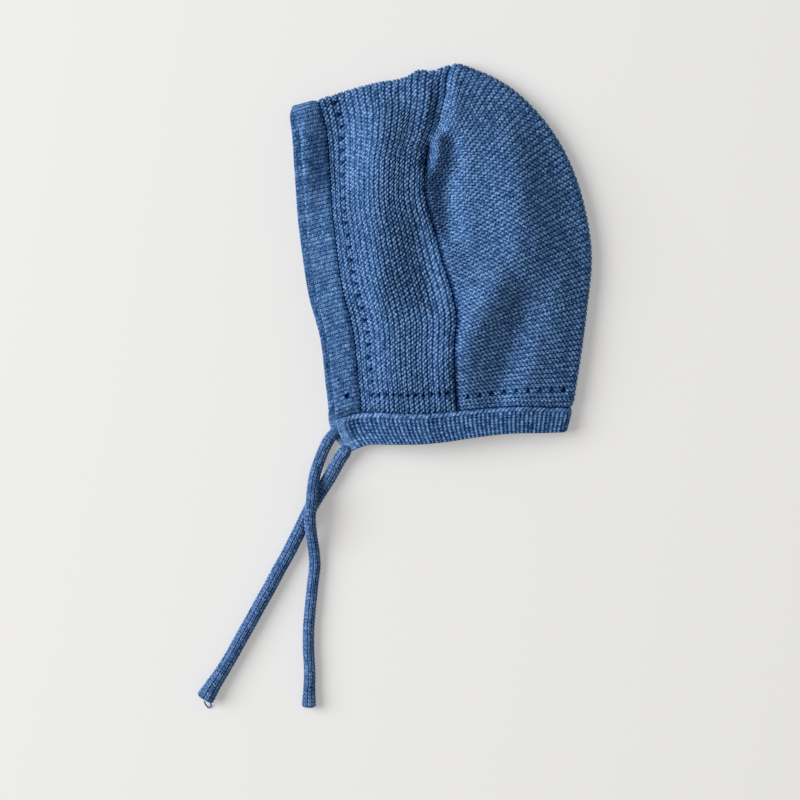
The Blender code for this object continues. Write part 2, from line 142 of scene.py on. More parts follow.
NEAR_TIE_ROUTE = (
    (-0.0440, -0.0908, 0.0048, 0.40), (-0.0460, -0.0938, 0.0051, 0.60),
    (-0.0479, -0.0966, 0.0053, 0.96), (-0.0500, -0.0995, 0.0040, 1.00),
    (-0.0527, -0.1042, 0.0035, 1.00), (-0.0556, -0.1095, 0.0035, 1.00),
    (-0.0590, -0.1148, 0.0035, 1.00), (-0.0625, -0.1203, 0.0035, 1.00),
    (-0.0659, -0.1265, 0.0035, 1.00), (-0.0693, -0.1335, 0.0035, 1.00),
    (-0.0730, -0.1410, 0.0035, 1.00), (-0.0768, -0.1485, 0.0035, 1.00),
    (-0.0808, -0.1555, 0.0035, 1.00), (-0.0850, -0.1635, 0.0035, 1.00),
    (-0.0898, -0.1720, 0.0035, 1.00), (-0.0950, -0.1815, 0.0035, 1.00),
    (-0.0998, -0.1900, 0.0035, 1.00), (-0.1045, -0.1985, 0.0035, 1.00),
    (-0.1092, -0.2063, 0.0036, 1.04), (-0.1140, -0.2137, 0.0041, 1.18),
    (-0.1182, -0.2205, 0.0050, 1.42),
)

# The short loop of yarn at the near tie's end
NEAR_TAIL_ROUTE = (
    (-0.1182, -0.2215, 0.0030), (-0.1172, -0.2236, 0.0012), (-0.1160, -0.2248, 0.0008),
    (-0.1150, -0.2240, 0.0008), (-0.1150, -0.2222, 0.0020),
)
TAIL_RADIUS = 0.00040
TAIL_AROUND = 8
TAIL_POINTS = 30

# How finely lines are divided
LINE_POINTS = 240
ROUGH_TIE_POINTS = 400  # for a tie's length, before its stitches are counted
SMOOTH_LINE_SKIP = 6  # between the points used of a line that only shapes broad rises
BLOCK = 6000  # places measured against a line at once

# Steps of the mesh across a ridge or a band, and along a stitch on the near layer and the far one
HOOD_STEPS = (7, 5, 3)
BACK_STEPS = (5, 4, 3)
FRONT_BAND_STEPS = (39, 5, 4)
NECK_BAND_STEPS = (29, 7, 5)
EDGE_POINTS = 6  # round a rounded edge
EDGE_ROUND = 0.97  # its radius, as a share of half the wall
TIE_STEPS = (6, 5)  # round a tie, to each column of stitches, and along a stitch

# The plain inner faces take one point in so many of the outer ones, across and along
HOOD_INNER_SKIP = (7, 10)
BACK_INNER_SKIP = 6  # only across
BACK_INNER_POINTS = 81  # along

# The knitting
HOOD_RIDGES = 19
HOOD_RIDGE_SPREAD = 0.09  # ridges lie closer at the front band and wider at the seam
HOOD_STITCH = 0.0021
HOOD_RELIEF = 0.00125
BACK_RIDGES = 70
BACK_RIDGE_SPREAD = 0.12
BACK_STITCH = 0.0020
BACK_RELIEF = 0.00095
BAND_WALE = 0.00205
BAND_COURSE = 0.00125
BAND_RELIEF = 0.00042
BAND_PAINTED_SHADE = 0.20  # painted shade: the flat fine knit of the front band is coloured a little darker than the rounded stitches
RIB_PITCH = 0.0021
RIB_RELIEF = 0.00062
RIB_COURSE = 0.0013
CHAIN_HEIGHT = 0.0021
PLAIN_END = 0.0028  # the neck band's ends have no ribs as far as this
PLAIN_HEIGHT = 0.65
INNER_RELIEF = 0.8  # share of the relief that a band's inner face has
TIE_WALES = 9
TIE_COURSE = 0.0019
TIE_RELIEF = 0.00075
ROW_SLIP = 0.5  # how far a row's stitches may lie out of line with the next row's
PEAK_ABOVE = 0.35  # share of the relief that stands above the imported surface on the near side
EYELET_STITCHES = 3
EYELET_RADIUS = 0.00085
EYELET_DEPTH = 0.0016
# Painted shade in the eyelets, added to a point's crevice depth
EYELET_PAINTED_SHADE = 1.2
FACE_EYELETS_RIDGE = 2.55  # the row of eyelets beside the front band lies on this ridge
FACE_EYELETS_FIRST = 1.3  # the stitch that they are counted from
FACE_EYELETS_ABOVE = 5  # and the stitch above which they start
FOOT_EYELETS_STITCH = 4.1  # the row above the neck band lies on this stitch of the hood
FOOT_EYELETS_FIRST = 2.5  # the ridge that they are counted from
FOOT_EYELETS_BEYOND = 2  # and the ridge beyond which they start
FOOT_EYELETS_APART = 1.5  # ridges
HOOD_RIDGE_WIDTH = 0.0028  # at the eyelets
BACK_EYELETS_RIDGE = 3.5  # the row above the neck band goes on along this ridge of the back
BACK_EYELETS_FIRST = 1.5  # stitches from the fold
BACK_EYELETS_BEYOND = 2
BACK_RIDGE_WIDTH = 0.0022  # at the eyelets
BAND_HOLE_IN = 0.0070  # the one small hole in the front band, from the face edge
BAND_HOLE_UP = 0.0095  # and from the neck band
BAND_HOLE_DEPTH = 3.0  # times the relief; the same depth gives the hole its painted shade

# Forms of the stitches, as shares of a ridge or column and of a stitch
GARTER_COLUMNS = ((0.42, -0.15, 0.0), (0.58, 0.15, 0.5))  # middle, bow, and how late it starts
BUMP_REACH = 0.20
BUMP_LEAN = 0.08
BUMP_FOOT = 0.08  # least height along a bump, as a share
BUMP_WOBBLE = 0.06
BUMP_LEAST = 0.76
LEG_MIDDLE = 0.22
LEG_REACH = 0.26
LEG_SLANT = 1.8
LEG_TONE_SLANT = 1.5
LEG_LEAST = 0.80
LEG_TONE = 0.90  # the size of stitch whose tone is even
RIB_REACH = 0.30
RIB_HOLLOW = 0.15
RIB_SLANT = 0.8
RIB_WAVE = 0.32
RIB_LEAST = 0.75
CHAIN_MIDDLE = 0.55
CHAIN_REACH = 0.52
CHAIN_END = 1.05
CHAIN_SLANT = 0.9
CHAIN_FOOT = 0.10
EVEN_TONE = 0.88  # the size of stitch or bump whose tone is even
BAND_HOLLOW = 0.25
BAND_WAVE = 0.45
TIE_HOLLOW = -0.20
TIE_WAVE = 0.75

# The random table of values for each stitch
TABLE_SIZE = 401
COLUMN_SHIFT = 100  # keeps the values of a ridge's two columns apart

# The ties' ends and sections, as shares of the radius unless they say otherwise
TIE_TALLEST = 0.92
TIE_END_ROUND = 0.6
TIE_START_ROUND = 0.3
TIE_END_LEAST = 0.35  # share of the width left at the free end
TIE_TIP = 0.02  # the square of the least share of the width at a tip
TIE_SUNK = 0.6  # share of the relief that lies below the cord's own surface

# The yarn: the dark colour is painted shade in the hollows, the middle one the yarn's blue, the
# bright one painted light on stitch tops
YARN_PAINTED_SHADE_TO_LIGHT_COLOURS = ((0.0, 0.010, 0.062, 1.0), (0.054, 0.152, 0.345, 1.0), (0.280, 0.460, 0.800, 1.0))
CORD_PAINTED_SHADE_TO_LIGHT_COLOURS = ((0.0, 0.009, 0.052, 1.0), (0.050, 0.130, 0.300, 1.0), (0.235, 0.380, 0.660, 1.0))
YARN_LEVEL = -0.06
PAINTED_SHADE_CONTRAST = 1.02
FIBRE_CONTRAST = 2.4
FIBRE_SCALE = 1700.0  # repeats a metre
# Painted shade: the yarn's colour darkens with a point's crevice depth, where shade falls between
# stitches
FULL_PAINTED_SHADE_DEPTH = 1.15  # painted shade: a crevice from this depth on has the darkest yarn colour
MOST_PAINTED_CREVICE_SHADE = 1.4  # the most painted shade that the cloth's own crevices have
INNER_PAINTED_SHADE = 0.45  # painted shade all over a plain inner face
# Painted shade on the yarn tail, at most this much between a tie's stitches, and at a tie's tips
TAIL_PAINTED_SHADE = 0.5
TIE_MOST_PAINTED_SHADE = 1.2
TIE_TIP_PAINTED_SHADE = 0.8

# Painted shade: how dark the colour is made along each join's groove
JOIN_PAINTED_SHADE = {"seam": 0.55, "crease": 0.05, "band_join": 0.26, "neck_join": 0.10}

# The camera, right above the middle of what the photo shows
CAMERA_LENS = 135.0
CAMERA_SENSOR = 36.0
VIEW_WIDTH = 0.400
VIEW_MIDDLE = (-0.0205, -0.0710)
VIEW_REACH = 20.0

# The stage
FLOOR_REACH = 2.5
FLOOR_DROP = 0.0001
FLOOR_COLOUR = (0.550, 0.556, 0.560, 1.0)
FLOOR_GLOW_COLOUR = (1.0, 0.97, 0.94, 1.0)
FLOOR_GLOW = 0.27
SKY_COLOUR = (1.0, 0.975, 0.95, 1.0)
SKY_STRENGTH = 0.33
KEY_PLACE = (-3.00, 0.54, 2.24)
KEY_SIZE = 3.1
KEY_POWER = 186.0

random = np.random.default_rng(7)


def plan(shares):
    """Places in the plan, in metres, of shares of the bonnet's depth and height."""
    shares = np.asarray(shares, float)
    return (shares - 0.5) * (BONNET_DEPTH, BONNET_HEIGHT)


def lengths_along(line):
    steps = np.linalg.norm(np.diff(line, axis=0), axis=1)
    return np.concatenate([[0.0], np.cumsum(steps)])


def smooth_line(points, count=LINE_POINTS):
    """Evenly spaced points of a smooth curve through the given ones, whose first columns are the
    place, up to three of them."""
    points = np.asarray(points, float)
    knots = lengths_along(points[:, :3])
    slopes = np.gradient(points, knots, axis=0)
    places = np.linspace(0.0, knots[-1], count)
    piece = np.clip(np.searchsorted(knots, places, side="right") - 1, 0, len(knots) - 2)
    step = (knots[piece + 1] - knots[piece])[:, None]
    t = (places - knots[piece])[:, None] / step
    return (
        (1 + 2 * t) * (1 - t) ** 2 * points[piece]
        + t * (1 - t) ** 2 * step * slopes[piece]
        + t**2 * (3 - 2 * t) * points[piece + 1]
        + t**2 * (t - 1) * step * slopes[piece + 1]
    )


def point_at(line, share):
    """The points of a line at shares of its length."""
    along = lengths_along(line)
    places = np.asarray(share) * along[-1]
    return np.stack([np.interp(places, along, line[:, k]) for k in range(line.shape[1])], axis=-1)


def stretch(line, start, end):
    return point_at(line, np.linspace(start, end, LINE_POINTS))


def share_of(line, length):
    return length / lengths_along(line)[-1]


def beside(line, distance):
    """The line moved sideways, to the left of its direction."""
    ahead = np.gradient(line, axis=0)
    ahead /= np.linalg.norm(ahead, axis=1)[:, None]
    return line + distance * np.stack([-ahead[:, 1], ahead[:, 0]], axis=1)


def pinned(line, start, end):
    """The line eased over so that it starts and ends at the given points."""
    share = np.linspace(0.0, 1.0, len(line))[:, None]
    return line + (1 - share) * (start - line[0]) + share * (end - line[-1])


def smooth_step(value):
    value = np.clip(value, 0.0, 1.0)
    return value * value * (3 - 2 * value)


def nearest_on(line, places):
    """For each place, the distance to a line and the line's left-hand normal there."""
    start, step = line[:-1], np.diff(line, axis=0)
    size = (step**2).sum(1)
    flat = places.reshape(-1, 2)
    apart = np.empty(len(flat))
    best = np.empty(len(flat), int)
    for first in range(0, len(flat), BLOCK):
        part = flat[first : first + BLOCK]
        x = part[:, :1] - start[:, 0]
        y = part[:, 1:] - start[:, 1]
        share = np.clip((x * step[:, 0] + y * step[:, 1]) / size, 0.0, 1.0)
        x -= share * step[:, 0]
        y -= share * step[:, 1]
        square = x * x + y * y
        nearest = square.argmin(axis=1)
        best[first : first + BLOCK] = nearest
        apart[first : first + BLOCK] = np.sqrt(square[np.arange(len(part)), nearest])
    ahead = step[best] / np.sqrt(size[best])[:, None]
    normal = np.stack([-ahead[:, 1], ahead[:, 0]], axis=1)
    return apart.reshape(places.shape[:-1]), normal.reshape(places.shape)


def draw_lines():
    """The outlines and joins in the plan, by name."""
    face = smooth_line(plan(FACE_EDGE))
    fold = smooth_line(plan(TOP_OUTLINE + BACK_OUTLINE[1:]), 2 * LINE_POINTS)
    crown = np.linalg.norm(fold - plan(CROWN), axis=1).argmin() / (len(fold) - 1)
    top = stretch(fold, 0.0, crown)
    back = stretch(fold, crown, 1.0)
    neck = smooth_line(plan(NECK_EDGE))
    crease = smooth_line([*plan(CREASE[:-1]), top[-1]])
    band_end = point_at(top, share_of(top, FRONT_BAND_WIDTH))
    neck_front = share_of(face, NECK_BAND_FRONT)
    neck_back = 1.0 - share_of(back, NECK_BAND_WIDTH)
    neck_join = pinned(
        beside(neck, NECK_BAND_WIDTH), point_at(face, neck_front), point_at(back, neck_back)
    )
    band_foot = share_of(neck_join, FRONT_BAND_WIDTH)
    front_face = stretch(face, neck_front, 1.0)
    band_join = pinned(
        beside(front_face, -FRONT_BAND_WIDTH), point_at(neck_join, band_foot), band_end
    )
    seam_foot = point_at(neck_join, SEAM_FOOT)
    seam = smooth_line([seam_foot, *plan(SEAM)])
    return {
        "face": face,
        "front_face": front_face,
        "neck": neck,
        "fold": fold,
        "band_top": stretch(top, 0.0, share_of(top, FRONT_BAND_WIDTH)),
        "hood_top": stretch(top, share_of(top, FRONT_BAND_WIDTH), 1.0),
        "back_fold": stretch(back, neck_back, 0.0),
        "neck_fold": stretch(back, 1.0, neck_back),
        "band_foot": stretch(neck_join, 0.0, band_foot),
        "hood_foot": stretch(neck_join, band_foot, SEAM_FOOT),
        "back_foot": stretch(neck_join, SEAM_FOOT, 1.0),
        "neck_join": neck_join,
        "neck_front": stretch(face, 0.0, neck_front),
        "band_join": band_join,
        "seam": seam,
        "crease": crease,
        "hood_back": np.concatenate([seam, crease[1:]]),
    }


LINES = draw_lines()


def fold_relief(places):
    """The height that the soft folds of the near layer add."""
    height = np.zeros(places.shape[:-1])
    for row in FOLDS.values():
        fold = dict(zip(FOLD_COLUMNS, row))
        ends = plan([(fold["from_x"], fold["from_y"]), (fold["to_x"], fold["to_y"])])
        distance, _ = nearest_on(ends, places)
        width = fold["half_width"] * BONNET_DEPTH
        height += fold["height"] * PUFF * np.exp(-((distance / width) ** 2))
    return height


def near_height(places, from_fold):
    """How far the near layer stands above a cloth that is only folded flat."""
    from_face, _ = nearest_on(LINES["face"][::SMOOTH_LINE_SKIP], places)
    from_neck, _ = nearest_on(LINES["neck"][::SMOOTH_LINE_SKIP], places)
    lifted = smooth_step(from_fold / FOLD_RISE)
    puffed = smooth_step(from_fold / EDGE_RISE)
    inside = smooth_step(from_face / EDGE_RISE) * smooth_step(from_neck / EDGE_RISE)
    corner = np.linalg.norm(places - plan(NECK_EDGE[0]), axis=-1)
    relief = fold_relief(places) * smooth_step(from_fold / FOLD_RISE + RELIEF_AT_FOLD)
    return (
        MOUTH_LIFT * lifted
        + PUFF * puffed * inside
        + relief * smooth_step(from_neck / EDGE_RISE + RELIEF_AT_NECK)
        - CORNER_DROP * np.exp(-((corner / CORNER_RADIUS) ** 2))
    )


def far_shift(places, from_fold):
    """How far the far layer slips out past the near one, along the face and at the neck corner."""
    shares = places / (BONNET_DEPTH, BONNET_HEIGHT) + 0.5
    ahead = np.clip(1 - shares[..., 0], 0.0, 1.0) ** 2
    low = np.clip(1 - shares[..., 1] / NECK_RISE_REACH, 0.0, 1.0) ** 2
    corner = np.linalg.norm(places - plan(NECK_EDGE[0]), axis=-1)
    near_corner = np.exp(-((corner / CORNER_RADIUS) ** 2))
    out = -FACE_LEAD * ahead - CORNER_LEAD * near_corner
    slip = np.stack([out, NECK_RISE * ahead * low], axis=-1)
    return slip * (1 - np.exp(-from_fold / LEAD_RISE))[..., None]


def lay(places, side):
    """Points on the outer face of the near layer, side 1, or the far one, side -1, above plan
    places. Gives them with and without the joins' grooves, and how much painted shade each join's
    groove puts on them."""
    from_fold, outward = nearest_on(LINES["fold"], places)
    across = np.clip(1 - from_fold / FOLD_RADIUS, 0.0, 1.0)
    up = side * np.sqrt(1 - across**2)
    groove = np.zeros(places.shape[:-1])
    shade = np.zeros(places.shape[:-1])
    # Painted shade along each join, where its groove sinks
    for name, dark in JOIN_PAINTED_SHADE.items():
        distance, _ = nearest_on(LINES[name], places)
        near_join = np.exp(-((distance / GROOVE_WIDTH) ** 2))
        groove = np.maximum(groove, near_join)
        shade = np.maximum(shade, dark * near_join**2)
    sunk = -GROOVE_DEPTH * groove
    near = side > 0
    height = FOLD_RADIUS * (1 + up) + near * near_height(places, from_fold)
    spot = places + far_shift(places, from_fold) * (~near)[..., None]
    even = np.concatenate([spot, height[..., None]], axis=-1)
    inwards = outward * (across * sunk)[..., None]
    drawn_in = np.concatenate([inwards, (sunk * up)[..., None]], axis=-1)
    return even + drawn_in, even, shade


def patch(sides, across, along):
    """Plan places inside four sides, given as left, right, bottom and top, at the shares across
    and along."""
    left, right, bottom, top = (LINES[name] for name in sides)
    u, v = across[..., None], along[..., None]
    corners = (
        (1 - u) * (1 - v) * bottom[0]
        + u * (1 - v) * bottom[-1]
        + (1 - u) * v * top[0]
        + u * v * top[-1]
    )
    return (
        (1 - v) * point_at(bottom, across)
        + v * point_at(top, across)
        + (1 - u) * point_at(left, along)
        + u * point_at(right, along)
        - corners
    )


def kept_clear(shares, length, start, end):
    """The shares drawn in by half a join's gap at the ends that are named."""
    inset = JOIN_GAP / 2 / length
    return start * inset + shares * (1 - (start + end) * inset)


class Piece:
    """One knitted piece. sides names its left, right, bottom and top lines in the plan, fold_at
    is the side on the fold, and joined has a 1 for each side that meets another piece."""

    def __init__(self, sides, fold_at, joined, wall):
        self.sides = sides
        self.fold_at = fold_at
        self.joined = joined
        self.wall = wall

    def row_lengths(self, cross):
        """The plan length of each row, from its start to the fold, and the width across rows."""
        left, right, bottom, top = (LINES[name] for name in self.sides)
        if self.fold_at == "top":
            start, end, width = bottom, top, right[0] - left[0]
        else:
            start, end, width = left, right, left[-1] - left[0]
        lengths = np.linalg.norm(point_at(end, cross) - point_at(start, cross), axis=1)
        return lengths, np.linalg.norm(width)

    def arcs(self, cross):
        """The length of cloth in each row of the near layer, as far as the middle of the fold."""
        return self.row_lengths(cross)[0] + (math.pi / 2 - 1) * FOLD_RADIUS

    def surface(self, cross, ways):
        """Outer points at cross shares, one for each row, and at lengths of cloth from the middle
        of the fold, above 0 on the near layer and below 0 on the far one."""
        lengths, width = self.row_lengths(cross)
        lengths = lengths[:, None]
        flat = lengths - FOLD_RADIUS
        arc = self.arcs(cross)[:, None] - np.abs(ways)
        turn = np.clip((arc - flat) / FOLD_RADIUS, 0.0, math.pi / 2)
        shares = np.where(arc < flat, arc / lengths, 1 - FOLD_RADIUS / lengths * (1 - np.sin(turn)))
        join_left, join_right, join_bottom, join_top = self.joined
        if self.fold_at == "top":
            rows = kept_clear(cross, width, join_left, join_right)[:, None]
            across = np.broadcast_to(rows, ways.shape)
            along = kept_clear(shares, lengths, join_bottom, 0)
        else:
            rows = kept_clear(cross, width, join_bottom, join_top)[:, None]
            along = np.broadcast_to(rows, ways.shape)
            across = kept_clear(shares, lengths, join_left, 0)
        places = patch(self.sides, across, along)
        return lay(places, np.where(ways >= 0, 1, -1))


def outward_normals(points, ways):
    """Unit normals of a grid of points, upwards on the near layer."""
    normal = np.cross(np.gradient(points, axis=0), np.gradient(points, axis=1))
    normal /= np.maximum(np.linalg.norm(normal, axis=-1), 1e-12)[..., None]
    if normal[ways > 2 * FOLD_RADIUS][:, 2].mean() < 0:
        normal = -normal
    return normal


def numbered(keep):
    """Numbers the kept points of a grid, where a dropped one has the nearest kept one's number."""
    number = np.cumsum(keep.reshape(-1)).reshape(keep.shape) - 1
    first = keep.argmax(axis=1)[:, None]
    last = keep.shape[1] - 1 - keep[:, ::-1].argmax(axis=1)[:, None]
    column = np.clip(np.arange(keep.shape[1])[None, :], first, last)
    return np.take_along_axis(number, column, axis=1)


def grid_faces(number):
    """The quads between the numbered points, and triangles where two of them are one."""
    quads = np.stack([number[:-1, :-1], number[1:, :-1], number[1:, 1:], number[:-1, 1:]], axis=-1)
    quads = quads.reshape(-1, 4)
    low = quads[:, 0] == quads[:, 3]
    high = quads[:, 1] == quads[:, 2]
    faces = quads[~low & ~high].tolist()
    faces += quads[low & ~high][:, :3].tolist()
    faces += quads[high & ~low][:, [0, 1, 3]].tolist()
    return faces


def unique_run(numbers):
    return numbers[np.concatenate([[True], numbers[1:] != numbers[:-1]])]


def edge_runs(number):
    """The four edges of a grid in one direction round it."""
    return [
        unique_run(number[0]),
        unique_run(number[:, -1]),
        unique_run(number[-1, ::-1]),
        unique_run(number[::-1, 0]),
    ]


def zipped(points, outer, inner):
    """Triangles between two edges that run side by side."""
    outer_way = lengths_along(points[outer])
    inner_way = lengths_along(points[inner])
    outer_way /= max(outer_way[-1], 1e-12)
    inner_way /= max(inner_way[-1], 1e-12)
    faces = []
    a = b = 0
    while a < len(outer) - 1 or b < len(inner) - 1:
        ends = b == len(inner) - 1
        if ends or (a < len(outer) - 1 and outer_way[a + 1] <= inner_way[b + 1]):
            faces.append([outer[a], outer[a + 1], inner[b]])
            a += 1
        else:
            faces.append([outer[a], inner[b + 1], inner[b]])
            b += 1
    return faces


def closed_sheet(outer, inner):
    """Vertices and faces of a sheet between two grids of points, each given with the points that
    it keeps."""
    outer_points, outer_keep = outer
    inner_points, inner_keep = inner
    outer_number = numbered(outer_keep)
    inner_number = numbered(inner_keep) + int(outer_keep.sum())
    points = np.concatenate([outer_points[outer_keep], inner_points[inner_keep]])
    faces = grid_faces(outer_number) + [face[::-1] for face in grid_faces(inner_number)]
    for outer_run, inner_run in zip(edge_runs(outer_number), edge_runs(inner_number)):
        faces += zipped(points, outer_run, inner_run)
    return points, faces


def signed_volume(points, faces):
    total = 0.0
    for corners in (3, 4):
        chosen = np.array([face for face in faces if len(face) == corners])
        if len(chosen):
            a = points[chosen[:, 0]]
            for k in range(1, corners - 1):
                b, c = points[chosen[:, k]], points[chosen[:, k + 1]]
                total += (a * np.cross(b, c)).sum() / 6
    return total


def mesh_object(name, points, faces, material, marks):
    """A smooth mesh of the points and faces. marks gives each point's named values."""
    if signed_volume(points, faces) < 0:
        faces = [face[::-1] for face in faces]
    mesh = bpy.data.meshes.new(name)
    mesh.from_pydata(points.tolist(), [], faces)
    mesh.shade_smooth()
    for mark, values in marks.items():
        attribute = mesh.attributes.new(mark, "FLOAT", "POINT")
        attribute.data.foreach_set("value", np.asarray(values, np.float32))
    mesh.materials.append(material)
    piece = bpy.data.objects.new(name, mesh)
    bpy.context.scene.collection.objects.link(piece)
    return piece


def stitch_values(rows, stitches, low, high):
    """A random value for each stitch, the same wherever that stitch is asked for."""
    table = random.uniform(low, high, (TABLE_SIZE, TABLE_SIZE))
    row = np.floor(rows).astype(int) % TABLE_SIZE
    return table[row, np.floor(stitches).astype(int) % TABLE_SIZE]


def dome(offset, reach):
    """The height of a round yarn at an offset from its middle, 1 there and 0 from its reach on."""
    return np.sqrt(np.clip(1 - (offset / reach) ** 2, 0.0, 1.0))


def garter(ridge, stitch):
    """Garter stitch: each ridge is two columns of rounded bumps, bowed apart and half a stitch out
    of step. Gives heights from 0 to 1 and each stitch's own tone."""
    across = ridge % 1.0
    stitch = stitch + stitch_values(ridge, np.zeros_like(ridge), 0.0, ROW_SLIP)
    height = np.zeros(np.shape(across))
    tone = np.zeros(np.shape(across))
    for centre, bow, late in GARTER_COLUMNS:
        column = ridge + COLUMN_SHIFT * late
        wobble = stitch_values(column, stitch + late, -BUMP_WOBBLE, BUMP_WOBBLE)
        size = stitch_values(column, stitch + late, BUMP_LEAST, 1.0)
        t = (stitch + late) % 1.0 - 0.5
        hump = np.cos(math.pi * t)
        middle = centre + bow * hump + BUMP_LEAN * t + wobble
        round_off = dome(across - middle, BUMP_REACH)
        bump = round_off * (BUMP_FOOT + (1 - BUMP_FOOT) * hump) * size
        tone = np.where(bump > height, size - EVEN_TONE, tone)
        height = np.maximum(height, bump)
    return height, tone


def stockinette(wale, course, between, waved):
    """Columns of V stitches, with hollows of the height between, and waved as the share of their
    height that comes and goes along them. Gives heights up to 1 and tones."""
    from_middle = np.abs(wale % 1.0 - 0.5)
    leg = dome(from_middle - LEG_MIDDLE, LEG_REACH)
    step = (course + LEG_SLANT * from_middle) % 1.0 - 0.5
    ripple = np.cos(math.pi * step)
    size = stitch_values(wale, course + LEG_TONE_SLANT * from_middle, LEG_LEAST, 1.0)
    height = (between + (1 - between) * leg) * (1 - waved + waved * ripple) * size
    return height, size - LEG_TONE


def ribs(wale, course, from_join):
    """One knit column and one hollow to each rib, below a row of chain stitches."""
    from_middle = np.abs(wale % 1.0 - 0.5)
    column = RIB_HOLLOW + (1 - RIB_HOLLOW) * dome(from_middle, RIB_REACH)
    step = (course + RIB_SLANT * from_middle) % 1.0 - 0.5
    rib = column * (1 - RIB_WAVE + RIB_WAVE * np.cos(2 * math.pi * step))
    slanted = (wale + CHAIN_SLANT * from_join / CHAIN_HEIGHT) % 1.0 - 0.5
    chain_round = dome(from_join / CHAIN_HEIGHT - CHAIN_MIDDLE, CHAIN_REACH)
    chain = chain_round * (CHAIN_FOOT + (1 - CHAIN_FOOT) * np.cos(math.pi * slanted))
    height = np.where(from_join < CHAIN_HEIGHT * CHAIN_END, chain, rib)
    size = stitch_values(wale, course, RIB_LEAST, 1.0)
    return height * size, size - EVEN_TONE


def ridge_shares(ridges, count, ratio):
    """The shares across at which ridge numbers lie, where ridges widen towards the far end."""
    wide = 1 + ratio
    return (wide - np.sqrt(wide**2 - 4 * ratio * ridges / count)) / (2 * ratio)


def raised(points, normal, height, relief):
    """Points moved out along their normals, less so on the layer that faces the ground."""
    peak = PEAK_ABOVE * smooth_step((normal[..., 2] + 1) / 2)
    return points + normal * ((height - 1 + peak) * relief)[..., None]


def eyelets(ridge_gap, stitch_gap):
    """How deep in a small hole each point lies, from its distances to the nearest one."""
    return np.exp(-((ridge_gap**2 + stitch_gap**2) / EYELET_RADIUS**2))


def gap_to_nearest(places, first, apart):
    """Signed distances from the nearest of evenly spaced places, one of which is first."""
    return (places - first + apart / 2) % apart - apart / 2


def over_grid(values, ways):
    """Values of rows or columns, for every point of a grid."""
    return values + np.zeros_like(ways)


def every(count, skip):
    """Numbers below count in steps of skip, and always the last one."""
    return np.unique(np.append(np.arange(0, count, skip), count - 1))


def inner_face(piece, cross, ways):
    """Points on the inner face, one wall below the outer one."""
    points, even, _ = piece.surface(cross, ways)
    return points - outward_normals(even, ways) * piece.wall


def finish_piece(piece_object, slot, *nodes):
    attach(piece_object, "root")
    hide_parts(*nodes)
    return piece_object


def knit_colour(tree, colours):
    """Nodes for knitted yarn, from the dark, middle and bright colours: painted shade makes it dark
    in the hollows between stitches and painted light makes it bright on top of them, with a tone for
    each stitch and a speckle of fibres. Gives the colour and the speckle."""
    nodes, links = tree.nodes, tree.links
    painted_crevice_shade = nodes.new("ShaderNodeAttribute")
    painted_crevice_shade.attribute_name = "painted_crevice_shade"
    tone = nodes.new("ShaderNodeAttribute")
    tone.attribute_name = "tone"
    place = nodes.new("ShaderNodeTexCoord")
    fibre = nodes.new("ShaderNodeTexNoise")
    fibre.inputs["Scale"].default_value = FIBRE_SCALE
    fibre.inputs["Detail"].default_value = 3.0
    fibre.inputs["Roughness"].default_value = 0.65
    links.new(place.outputs["Object"], fibre.inputs["Vector"])
    # Painted shade: the deeper the crevice, the darker the yarn
    top = nodes.new("ShaderNodeMapRange")
    top.inputs["From Max"].default_value = FULL_PAINTED_SHADE_DEPTH
    top.inputs["To Min"].default_value = PAINTED_SHADE_CONTRAST
    top.inputs["To Max"].default_value = 0.0
    links.new(painted_crevice_shade.outputs["Fac"], top.inputs["Value"])
    speckle = nodes.new("ShaderNodeMath")
    speckle.operation = "MULTIPLY_ADD"
    speckle.inputs[1].default_value = FIBRE_CONTRAST
    speckle.inputs[2].default_value = YARN_LEVEL - FIBRE_CONTRAST / 2
    links.new(fibre.outputs["Fac"], speckle.inputs[0])
    stitch = nodes.new("ShaderNodeMath")
    links.new(tone.outputs["Fac"], stitch.inputs[0])
    links.new(top.outputs["Result"], stitch.inputs[1])
    total = nodes.new("ShaderNodeMath")
    links.new(stitch.outputs["Value"], total.inputs[0])
    links.new(speckle.outputs["Value"], total.inputs[1])
    colour = nodes.new("ShaderNodeValToRGB")
    stops = colour.color_ramp.elements
    stops.new(0.5)
    for stop, value in zip(stops, colours):
        stop.color = value
    links.new(total.outputs["Value"], colour.inputs["Fac"])
    return colour.outputs["Color"], fibre.outputs["Fac"]


def yarn_material(name, colours):
    material = bpy.data.materials.new(name)
    material.use_nodes = True
    tree = material.node_tree
    shader = tree.nodes["Principled BSDF"]
    colour, fibre = knit_colour(tree, colours)
    tree.links.new(colour, shader.inputs["Base Color"])
    shader.inputs["Roughness"].default_value = 0.88
    shader.inputs["Specular IOR Level"].default_value = 0.06
    bump = tree.nodes.new("ShaderNodeBump")
    bump.inputs["Strength"].default_value = 0.5
    bump.inputs["Distance"].default_value = 0.0003
    tree.links.new(fibre, bump.inputs["Height"])
    tree.links.new(bump.outputs["Normal"], shader.inputs["Normal"])
    return material


def garter_object(name, outer, keep, inner, shading, material):
    """A sheet between its stitched outer grid, with the points of it that are kept, and its plain
    inner one. shading has the outer points' heights, tones, eyelets and painted shade at joins."""
    height, tone, hole, join_painted_shade = shading
    inner_keep = np.ones(inner.shape[:2], bool)
    vertices, faces = closed_sheet((outer, keep), (inner, inner_keep))
    # Painted shade: darker deeper between stitches, in eyelets and along joins, and evenly on the
    # inner face
    painted_crevice_shade = np.clip(1 - height + join_painted_shade + EYELET_PAINTED_SHADE * hole, 0.0, MOST_PAINTED_CREVICE_SHADE)
    marks = {
        "painted_crevice_shade": np.concatenate([painted_crevice_shade[keep], np.full(inner_keep.sum(), INNER_PAINTED_SHADE)]),
        "tone": np.concatenate([tone[keep], np.zeros(inner_keep.sum())]),
    }
    return mesh_object(name, vertices, faces, material, marks)


